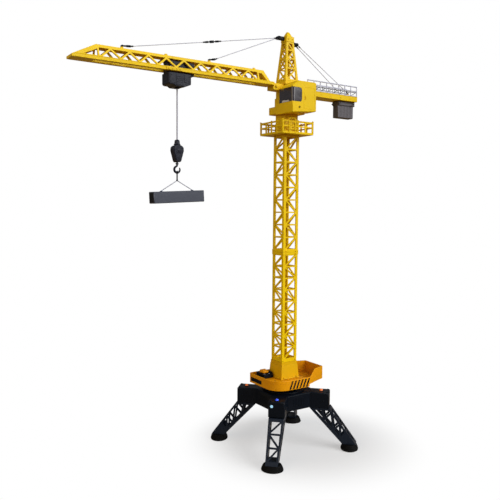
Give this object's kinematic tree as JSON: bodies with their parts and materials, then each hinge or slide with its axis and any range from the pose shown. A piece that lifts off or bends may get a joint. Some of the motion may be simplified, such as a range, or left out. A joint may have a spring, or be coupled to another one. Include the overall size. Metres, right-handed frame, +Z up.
{
  "type": "toy tower crane",
  "caption": "Toy tower crane: slewing lattice tower on a four-legged base, with cab, tied jib, trolley, hoisted hook with a slung load, counter-jib and counterweight.",
  "frame": {"origin": "on the floor, below the middle of the bounding box; the tower's axis stands at x = 0.202 m", "axes": "+Z up, the jib points to -X and the counter-jib to +X, the driver's cab is on the -Y side"},
  "size_m": [0.94, 0.3554, 1.282],
  "materials": {
    "yellow_plastic": "satin moulded plastic",
    "orange_plastic": "satin moulded plastic",
    "black_plastic": "fine-grained moulded plastic",
    "black_rubber": "matt",
    "grey_plastic": "satin moulded plastic",
    "ballast_plastic": "matt moulded plastic",
    "slate_plastic": "matt moulded plastic",
    "dark_glass": "tinted clear plastic",
    "amber_lens": "clear tinted",
    "blue_lens": "clear tinted",
    "pale_lens": "clear",
    "seat_plastic": "moulded plastic",
    "grey_cord": "braided cord",
    "tie_wire": "coated wire"
  },
  "bodies": {
    "base": {"base_housing": "black_plastic", "base_bottom_cover": "black_plastic", "battery_cover": "black_plastic", "leg_front": "black_plastic", "leg_right": "black_plastic", "leg_back": "black_plastic", "leg_left": "black_plastic", "foot_front": "black_rubber", "foot_right": "black_rubber", "foot_back": "black_rubber", "foot_left": "black_rubber", "amber_light_left": "amber_lens", "amber_light_right": "amber_lens", "blue_light_front": "blue_lens", "front_lens": "pale_lens", "slew_ring": "black_plastic"},
    "switch": {"power_switch": "grey_plastic"},
    "turntable": {"turntable_tray": "orange_plastic", "slew_motor": "black_plastic", "slew_gear_cover": "orange_plastic", "pedestal": "yellow_plastic", "mast_lower": "yellow_plastic", "mast_upper": "yellow_plastic", "gallery": "yellow_plastic", "neck": "yellow_plastic", "house": "yellow_plastic", "cathead": "yellow_plastic", "cab_shell": "yellow_plastic", "cab_front_window": "dark_glass", "cab_side_window": "dark_glass", "cab_seat": "seat_plastic", "jib_root": "yellow_plastic", "jib_inner": "yellow_plastic", "jib_outer": "yellow_plastic", "front_tie_fitting": "black_plastic", "rear_tie_fitting": "black_plastic", "outer_tie_clevis": "black_plastic", "inner_tie_clevis": "black_plastic", "tie_connector": "black_plastic", "front_tie_upper": "tie_wire", "front_tie_outer": "tie_wire", "front_tie_inner": "tie_wire", "rear_tie_near": "tie_wire", "rear_tie_far": "tie_wire", "counter_jib": "yellow_plastic", "railing_near": "grey_plastic", "railing_far": "grey_plastic", "counterweight": "ballast_plastic"},
    "pinion": {"slew_pinion": "grey_plastic"},
    "trolley": {"trolley_frame": "black_plastic", "hoist_rope": "grey_cord"},
    "wheels_outer": {"wheelset_outer": "grey_plastic"},
    "wheels_inner": {"wheelset_inner": "grey_plastic"},
    "drum": {"hoist_drum": "grey_plastic"},
    "hoist_block": {"hook_block": "black_plastic"},
    "swivel_hook": {"hook": "black_plastic"},
    "load": {"load_sling": "tie_wire", "load_beam": "slate_plastic"}
  },
  "joints": [
    {"name": "slew", "type": "hinge", "parent": "base", "child": "turntable", "pos_m": [0.202, 0, 0.195], "axis": [0, 0, 1], "range_deg": [-340, 340]},
    {"name": "pinion_spin", "type": "hinge", "parent": "turntable", "child": "pinion", "pos_m": [0.16209, 0.02667, 0.1793], "axis": [0, 0, 1], "continuous": true},
    {"name": "power_slide", "type": "slide", "parent": "base", "child": "switch", "axis": [1, 0, 0], "range_m": [0, 0.012]},
    {"name": "trolley_travel", "type": "slide", "parent": "turntable", "child": "trolley", "axis": [1, 0, 0], "range_m": [-0.19, 0.2]},
    {"name": "wheels_outer_roll", "type": "hinge", "parent": "trolley", "child": "wheels_outer", "pos_m": [-0.198, 0, 1.1238], "axis": [0, 1, 0], "continuous": true},
    {"name": "wheels_inner_roll", "type": "hinge", "parent": "trolley", "child": "wheels_inner", "pos_m": [-0.138, 0, 1.1238], "axis": [0, 1, 0], "continuous": true},
    {"name": "hoist", "type": "slide", "parent": "trolley", "child": "hoist_block", "axis": [0, 0, 1], "range_m": [-0.73, 0.13], "deforming": ["hoist_rope"]},
    {"name": "drum_wind", "type": "hinge", "parent": "trolley", "child": "drum", "pos_m": [-0.182, 0, 1.093], "axis": [0, 1, 0], "continuous": true},
    {"name": "hook_swivel", "type": "hinge", "parent": "hoist_block", "child": "swivel_hook", "pos_m": [-0.1735, 0, 0.8715], "axis": [0, 0, 1], "continuous": true},
    {"name": "load_swing", "type": "hinge", "parent": "swivel_hook", "child": "load", "pos_m": [-0.1735, 0, 0.8431], "axis": [1, 0, 0], "range_deg": [-30, 30]}
  ],
  "couplings": [
    {"joint": "pinion_spin", "follows": "slew", "ratio": 4},
    {"joint": "wheels_outer_roll", "follows": "trolley_travel", "rad_per_m": 250},
    {"joint": "wheels_inner_roll", "follows": "trolley_travel", "rad_per_m": 250},
    {"joint": "drum_wind", "follows": "hoist", "rad_per_m": -117.65}
  ]
}
